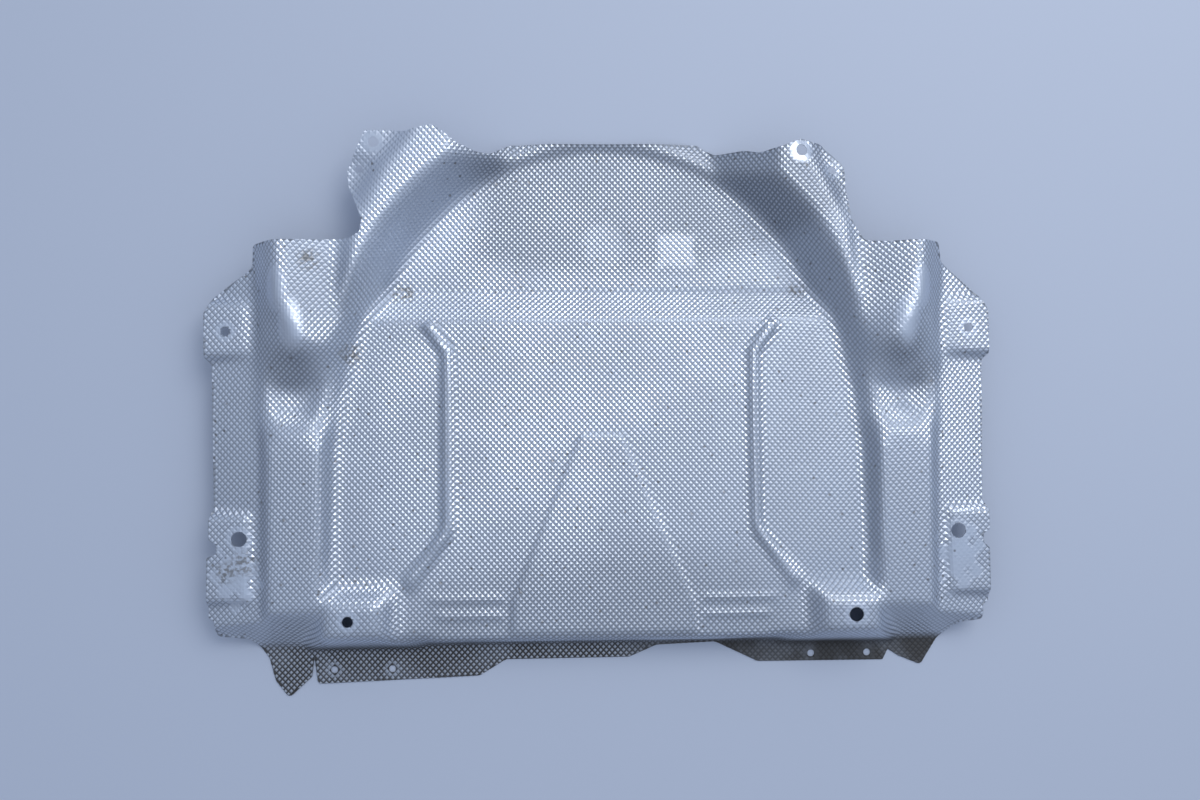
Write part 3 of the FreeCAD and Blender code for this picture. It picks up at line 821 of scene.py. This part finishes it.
@dataclass(frozen=True)
class WeatheredAluminium:
    """Embossed aluminium that has been under a vehicle: dulled, specked, with dirt and painted shade along
    its lower flange and in its grooves.

    Attributes:
        slot: the record's material slot.
        bright: colour of clean metal.
        dull: colour where a grey film lies on it.
        dirt_and_shade: colour of road dirt on the lower flange, dark enough to be painted shade under the
            lip as well.
        grime_and_shade: colour of the grooves between the dimples, grime and painted shade.
        stain: colour of the brown stains.
        speck: colour of the small dark specks.
        film: where the grey film lies.
        patches: how evenly the dirt and painted shade of the flange lie.
        ragged: how the stains are broken up.
        stains: middle and radius of each brown stain, in metres.
        stain_fade: a stain's fading edge, as a share of its radius.
        stain_cover: how much a stain hides.
        grime_and_shade_spots: middle, radius and fading edge of each place where the grooves are darkened
            further up, in metres: darker grooves over the upper floor and the lower part of the sheet, and
            painted shade in the hollows below the noses.
        clear_groove_spots: middle, radius and fading edge of each place where the grooves get neither
            grime nor painted shade, in metres.
        groove: how far up the dimples the grime and painted shade reach.
        grime_and_shade_spot_reach: how far up they reach in the darkened places.
        grime_and_shade_cover: how much the grime and painted shade hide at the bottom of a groove.
        polished: middle and radius of each rubbed place, in metres.
        polish_fade: a rubbed place's fading edge, as a share of its radius.
        polish_gain: how much smoother a rubbed place is.
        flange_low: below this the lower flange gets dirt and painted shade, along Y in metres.
        flange_high: above this the sheet has neither dirt nor painted shade, along Y in metres.
        rubbed_low: how far up the dimples the dirt and painted shade are whole.
        rubbed_high: how far up they are rubbed.
        rubbed_cover: how much dirt and painted shade is left where they are rubbed.
        heavy_from: where the flange starts to get darker towards the right, along X in metres.
        heavy_to: where it is full, along X in metres.
        heavy_cover: how much the darker right part hides.
        thin_dirt_and_shade: dirt and painted shade thinner than this leave the metal's shine.
        dirt_and_shade_shine: how metallic the thickest dirt and painted shade is.
        speck_scale: cells of the specks to the metre.
        speck_core: a speck is darkest within this, as a share of its cell.
        speck_edge: a speck ends here, as a share of its cell.
        speck_cover: how much a speck hides.
        speck_free: share of the cells that have no speck.
        rough_bright: roughness of clean metal.
        rough_dull: roughness under the grey film.
        rough_dirt_and_shade: what the dirt and painted shade add to the roughness.
        grain_scale: crinkles to the metre.
        grain_detail: finer layers of them.
        grain_strength: how strong they are, from 0 to 1.
        grain_depth: how deep they are, in metres.
    """

    slot: str = "embossed_aluminium"
    bright: Colour = (0.68, 0.73, 0.81)
    dull: Colour = (0.63, 0.675, 0.75)
    dirt_and_shade: Colour = (0.060, 0.056, 0.052)
    grime_and_shade: Colour = (0.20, 0.215, 0.24)
    stain: Colour = (0.19, 0.17, 0.14)
    speck: Colour = (0.20, 0.19, 0.18)
    film: Cloud = Cloud(16.0, 6.0, 0.36, 0.66)
    patches: Cloud = Cloud(28.0, 6.0, 0.30, 0.62, 0.80)
    ragged: Cloud = Cloud(260.0, 4.0, 0.42, 0.60)
    stains: tuple[Spot, ...] = (
        ((-0.272, 0.147), 0.009),
        ((-0.193, 0.120), 0.010),
        ((0.196, 0.122), 0.008),
        ((-0.240, 0.060), 0.009),
        ((-0.340, -0.137), 0.011),
        ((-0.357, -0.146), 0.009),
    )
    stain_fade: float = 0.55
    stain_cover: float = 0.7
    grime_and_shade_spots: tuple[SoftSpot, ...] = (
        # Darker grooves over the upper floor and the lower part of the sheet
        ((0.0, 0.620), 0.485, 0.016),
        ((0.0, -0.400), 0.290, 0.045),
        # Painted shade in the hollows below the noses
        ((-0.296, 0.044), 0.026, 0.014),
        ((0.290, 0.062), 0.024, 0.014),
        ((0.312, 0.038), 0.020, 0.012),
    )
    clear_groove_spots: tuple[SoftSpot, ...] = (((-0.200, 0.215), 0.080, 0.025),)
    groove: float = 0.32
    grime_and_shade_spot_reach: float = 0.80
    grime_and_shade_cover: float = 0.75
    polished: tuple[Spot, ...] = (
        ((-0.349, -0.145), 0.022),
        ((0.349, -0.138), 0.024),
        ((0.075, 0.162), 0.019),
    )
    polish_fade: float = 0.3
    polish_gain: float = 0.08
    flange_low: float = -0.228
    flange_high: float = -0.218
    rubbed_low: float = 0.15
    rubbed_high: float = 0.60
    rubbed_cover: float = 0.35
    heavy_from: float = -0.02
    heavy_to: float = 0.07
    heavy_cover: float = 0.95
    thin_dirt_and_shade: float = 0.2
    dirt_and_shade_shine: float = 0.6
    speck_scale: float = 90.0
    speck_core: float = 0.07
    speck_edge: float = 0.17
    speck_cover: float = 0.75
    speck_free: float = 0.50
    rough_bright: float = 0.33
    rough_dull: float = 0.40
    rough_dirt_and_shade: float = 0.20
    grain_scale: float = 420.0
    grain_detail: float = 2.0
    grain_strength: float = 0.12
    grain_depth: float = 0.0006

    def make(self) -> bpy.types.Material:
        """Make the material.

        Returns:
            The material, for the whole sheet.
        """
        material = bpy.data.materials.new(self.slot)
        material.use_nodes = True
        material.node_tree.nodes.clear()
        board = NodeBoard(material.node_tree)
        where = board.add("ShaderNodeTexCoord").outputs["Object"]
        crest = board.add("ShaderNodeAttribute", attribute_name=CREST_LAYER).outputs["Fac"]
        film = self.film.lay(board, where)
        # Road dirt and painted shade of the lower flange
        dirt_and_shade = self._flange_dirt_and_shade(board, where, crest)
        shader = board.add("ShaderNodeBsdfPrincipled")
        board.feed(shader.inputs["Base Color"], self._colour(board, where, crest, film, dirt_and_shade))
        board.feed(shader.inputs["Metallic"], board.span(dirt_and_shade, self.thin_dirt_and_shade, 1.0, 1.0, self.dirt_and_shade_shine))
        board.feed(shader.inputs["Roughness"], self._roughness(board, where, film, dirt_and_shade))
        board.feed(shader.inputs["Normal"], self._grain(board, where))
        output = board.add("ShaderNodeOutputMaterial")
        board.feed(output.inputs["Surface"], shader.outputs[0])
        return material

    def _flange_dirt_and_shade(
        self,
        board: NodeBoard,
        where: bpy.types.NodeSocket,
        crest: bpy.types.NodeSocket,
    ) -> bpy.types.NodeSocket:
        """Lay road dirt and painted shade under the lip along the lower flange, thinner on top of the
        dimples and darker towards the right.

        Args:
            board: the material's nodes.
            where: the coordinates it reads.
            crest: 0 in the grooves and 1 on the dimples.

        Returns:
            The thickness of the dirt and painted shade, from 0 to 1.
        """
        split = board.add("ShaderNodeSeparateXYZ")
        board.feed(split.inputs[0], where)
        # The lower flange lies under the lip: road dirt and painted shade darken it
        flange = board.span(split.outputs["Y"], self.flange_low, self.flange_high, 1.0, 0.0)
        rubbed = board.span(crest, self.rubbed_low, self.rubbed_high, 1.0, self.rubbed_cover)
        # Darker towards the right of the flange
        heavy = board.span(split.outputs["X"], self.heavy_from, self.heavy_to, 0.0, self.heavy_cover)
        cover = board.math("MAXIMUM", rubbed, heavy)
        spread = board.math("MULTIPLY", flange, self.patches.lay(board, where))
        return board.math("MULTIPLY", spread, cover, clamp=True)

    def _groove_grime_and_shade(
        self,
        board: NodeBoard,
        where: bpy.types.NodeSocket,
        crest: bpy.types.NodeSocket,
    ) -> bpy.types.NodeSocket:
        """Lay grime and painted shade in the grooves, more in the darkened spots and none in the clear
        ones.

        Args:
            board: the material's nodes.
            where: the coordinates it reads.
            crest: 0 in the grooves and 1 on the dimples.

        Returns:
            How much the grime and painted shade hide, from 0 to 1.
        """
        # Grime and painted shade darken the grooves between the dimples
        grime_and_shade = board.span(crest, 0.0, self.groove, self.grime_and_shade_cover, 0.0)
        spot_darkening = board.span(crest, 0.0, self.grime_and_shade_spot_reach, self.grime_and_shade_cover, 0.0)
        # Darker grooves in the listed spots, painted shade in the hollows below the noses among them
        for centre, radius, blur in self.grime_and_shade_spots:
            mask = board.spot(where, centre, radius, blur)
            grime_and_shade = board.math("MAXIMUM", grime_and_shade, board.math("MULTIPLY", spot_darkening, mask))
        for centre, radius, blur in self.clear_groove_spots:
            mask = board.spot(where, centre, radius, blur)
            grime_and_shade = board.math("MULTIPLY", grime_and_shade, board.math("SUBTRACT", 1.0, mask))
        return grime_and_shade

    def _colour(
        self,
        board: NodeBoard,
        where: bpy.types.NodeSocket,
        crest: bpy.types.NodeSocket,
        film: bpy.types.NodeSocket,
        dirt_and_shade: bpy.types.NodeSocket,
    ) -> bpy.types.NodeSocket:
        """Build the sheet's colour.

        Args:
            board: the material's nodes.
            where: the coordinates it reads.
            crest: 0 in the grooves and 1 on the dimples.
            film: how dull the metal is.
            dirt_and_shade: how thick the dirt and painted shade are.

        Returns:
            The colour.
        """
        colour = board.blend(film, self.bright, self.dull)
        # Grime and painted shade in the grooves
        colour = board.blend(self._groove_grime_and_shade(board, where, crest), colour, self.grime_and_shade)
        ragged = self.ragged.lay(board, where)
        for centre, radius in self.stains:
            mask = board.spot(where, centre, radius, self.stain_fade * radius)
            broken = board.math("MULTIPLY", mask, ragged)
            colour = board.blend(board.math("MULTIPLY", broken, self.stain_cover), colour, self.stain)
        colour = board.blend(self._specks(board, where), colour, self.speck)
        # Road dirt and painted shade under the lip along the lower flange
        return board.blend(dirt_and_shade, colour, self.dirt_and_shade)

    def _specks(self, board: NodeBoard, where: bpy.types.NodeSocket) -> bpy.types.NodeSocket:
        """Scatter small dark specks.

        Args:
            board: the material's nodes.
            where: the coordinates it reads.

        Returns:
            How much the specks hide, 0 between them.
        """
        cells = board.add("ShaderNodeTexVoronoi", voronoi_dimensions="3D")
        board.feed(cells.inputs["Vector"], where)
        cells.inputs["Scale"].default_value = self.speck_scale
        near = board.span(cells.outputs["Distance"], self.speck_core, self.speck_edge, 1.0, 0.0)
        chance = board.add("ShaderNodeSeparateColor")
        board.feed(chance.inputs[0], cells.outputs["Color"])
        chosen = board.math("GREATER_THAN", chance.outputs[0], self.speck_free)
        return board.math("MULTIPLY", board.math("MULTIPLY", near, chosen), self.speck_cover)

    def _roughness(
        self,
        board: NodeBoard,
        where: bpy.types.NodeSocket,
        film: bpy.types.NodeSocket,
        dirt_and_shade: bpy.types.NodeSocket,
    ) -> bpy.types.NodeSocket:
        """Build the sheet's roughness.

        Args:
            board: the material's nodes.
            where: the coordinates it reads.
            film: how dull the metal is.
            dirt_and_shade: how thick the dirt and painted shade are.

        Returns:
            The roughness.
        """
        rough = board.span(film, 0.0, 1.0, self.rough_bright, self.rough_dull)
        rough = board.math("ADD", rough, board.math("MULTIPLY", dirt_and_shade, self.rough_dirt_and_shade))
        for centre, radius in self.polished:
            mask = board.spot(where, centre, radius, self.polish_fade * radius)
            gain = board.math("MULTIPLY", mask, self.polish_gain)
            rough = board.math("SUBTRACT", rough, gain, clamp=True)
        return rough

    def _grain(self, board: NodeBoard, where: bpy.types.NodeSocket) -> bpy.types.NodeSocket:
        """Build the fine crinkle of thin sheet.

        Args:
            board: the material's nodes.
            where: the coordinates it reads.

        Returns:
            The bumped normal.
        """
        bump = board.add("ShaderNodeBump")
        bump.inputs["Strength"].default_value = self.grain_strength
        bump.inputs["Distance"].default_value = self.grain_depth
        board.feed(bump.inputs["Height"], board.noise(where, self.grain_scale, self.grain_detail))
        return bump.outputs[0]


@dataclass
class Studio:
    """The plain floor, the soft light and the camera.

    Attributes:
        floor_colour: colour of the floor.
        floor_half: half the floor's width, in metres.
        floor_rough: roughness of the floor.
        shade: world colour away from the light.
        sky: world colour towards the light.
        light_way: direction to the light side.
        dusk: how far round from that side the world is at its darkest, as a cosine.
        key_place: where the large lamp stands, in metres.
        key_size: width of the large lamp, in metres.
        key_power: power of the large lamp, in watts.
        eye: where the camera stands, in metres.
        turn: camera lean, yaw and roll, in degrees.
        lens: focal length, in millimetres.
        picture: width of the camera's picture, in millimetres.
        nearest: how near the camera sees, in metres.
    """

    floor_colour: Colour = (0.58, 0.63, 0.73)
    floor_half: float = 4.0
    floor_rough: float = 0.85
    shade: Colour = (0.285, 0.325, 0.41)
    sky: Colour = (0.52, 0.60, 0.75)
    light_way: tuple[float, float, float] = (0.34, 0.52, 0.78)
    dusk: float = -0.15
    key_place: tuple[float, float, float] = (0.65, 1.00, 1.45)
    key_size: float = 1.1
    key_power: float = 11.0
    eye: tuple[float, float, float] = (-0.03236, 0.01479, 0.94227)
    turn: tuple[float, float, float] = (-0.021, -1.907, -0.465)
    lens: float = 28.5
    picture: float = 36.0
    nearest: float = 0.01

    def build(self) -> None:
        """Make the floor, the world, the lamp and the camera."""
        self._floor()
        self._world()
        self._lamp()
        self._camera()
        bpy.context.scene.view_settings.view_transform = "Standard"

    def _floor(self) -> None:
        """Make the plain pale floor that the sheet lies on."""
        plane = bmesh.new()
        bmesh.ops.create_grid(plane, x_segments=1, y_segments=1, size=self.floor_half)
        floor = object_from(plane, "floor")
        material = bpy.data.materials.new("pale_floor")
        material.use_nodes = True
        shader = material.node_tree.nodes["Principled BSDF"]
        shader.inputs["Base Color"].default_value = (*self.floor_colour, 1.0)
        shader.inputs["Roughness"].default_value = self.floor_rough
        floor.data.materials.append(material)

    def _world(self) -> None:
        """Make a soft surround that is lighter on the light's side."""
        world = bpy.data.worlds.new("soft_surround")
        world.use_nodes = True
        world.node_tree.nodes.clear()
        board = NodeBoard(world.node_tree)
        way = board.add("ShaderNodeVectorMath", operation="DOT_PRODUCT")
        board.feed(way.inputs[0], board.add("ShaderNodeTexCoord").outputs["Generated"])
        way.inputs[1].default_value = Vector(self.light_way).normalized()
        amount = board.span(way.outputs["Value"], self.dusk, 1.0)
        surround = board.add("ShaderNodeBackground")
        board.feed(surround.inputs["Color"], board.blend(amount, self.shade, self.sky))
        output = board.add("ShaderNodeOutputWorld")
        board.feed(output.inputs["Surface"], surround.outputs[0])
        bpy.context.scene.world = world

    def _lamp(self) -> None:
        """Hang the one large soft lamp."""
        lamp = bpy.data.lights.new("soft_lamp", "AREA")
        lamp.size = self.key_size
        lamp.energy = self.key_power
        stand = bpy.data.objects.new("soft_lamp", lamp)
        stand.location = self.key_place
        stand.rotation_euler = (-Vector(self.key_place)).to_track_quat("-Z", "Y").to_euler()
        bpy.context.collection.objects.link(stand)

    def _camera(self) -> None:
        """Set the camera above the sheet, looking down on it."""
        camera = bpy.data.cameras.new("camera")
        camera.lens = self.lens
        camera.sensor_width = self.picture
        camera.sensor_fit = "HORIZONTAL"
        camera.clip_start = self.nearest
        stand = bpy.data.objects.new("camera", camera)
        stand.location = self.eye
        stand.rotation_euler = Euler([math.radians(angle) for angle in self.turn])
        bpy.context.collection.objects.link(stand)
        bpy.context.scene.camera = stand


def merged_copy(node: bpy.types.Object) -> bmesh.types.BMesh:
    """Copy a CAD node's mesh with its doubled points merged.

    Args:
        node: the CAD node, which is left as it is.

    Returns:
        The merged copy.
    """
    copy = bmesh.new()
    copy.from_mesh(node.data)
    bmesh.ops.remove_doubles(copy, verts=copy.verts[:], dist=DOUBLES)
    copy.normal_update()
    copy.verts.index_update()
    return copy


def object_from(shape: bmesh.types.BMesh, name: str) -> bpy.types.Object:
    """Turn a finished bmesh into an object at the origin.

    Args:
        shape: the bmesh, which is freed.
        name: the object's name.

    Returns:
        The new object.
    """
    mesh = bpy.data.meshes.new(name)
    shape.to_mesh(mesh)
    shape.free()
    made = bpy.data.objects.new(name, mesh)
    bpy.context.collection.objects.link(made)
    return made


def main() -> None:
    """Build the sheet over its CAD node, dress it, and set the studio."""
    logging.basicConfig(level=logging.INFO, format="%(name)s: %(message)s")
    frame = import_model()
    node = frame["nodes"]["heat_shield"]
    form = PressedForm(node)
    form.read()
    LOG.info("read the form: %s heights", form.heights.shape)
    trim = TrimTool(node, form)
    sheet = EmbossedSheet(form, trim).build()
    finish = WeatheredAluminium()
    sheet.data.materials.clear()
    sheet.data.materials.append(finish.make())
    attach(sheet, "root")
    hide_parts("heat_shield")
    sheet.data.calc_loop_triangles()
    LOG.info("made the sheet: %d triangles, %d holes", len(sheet.data.loop_triangles), len(trim.holes))
    Studio().build()


if __name__ == "__main__":
    main()
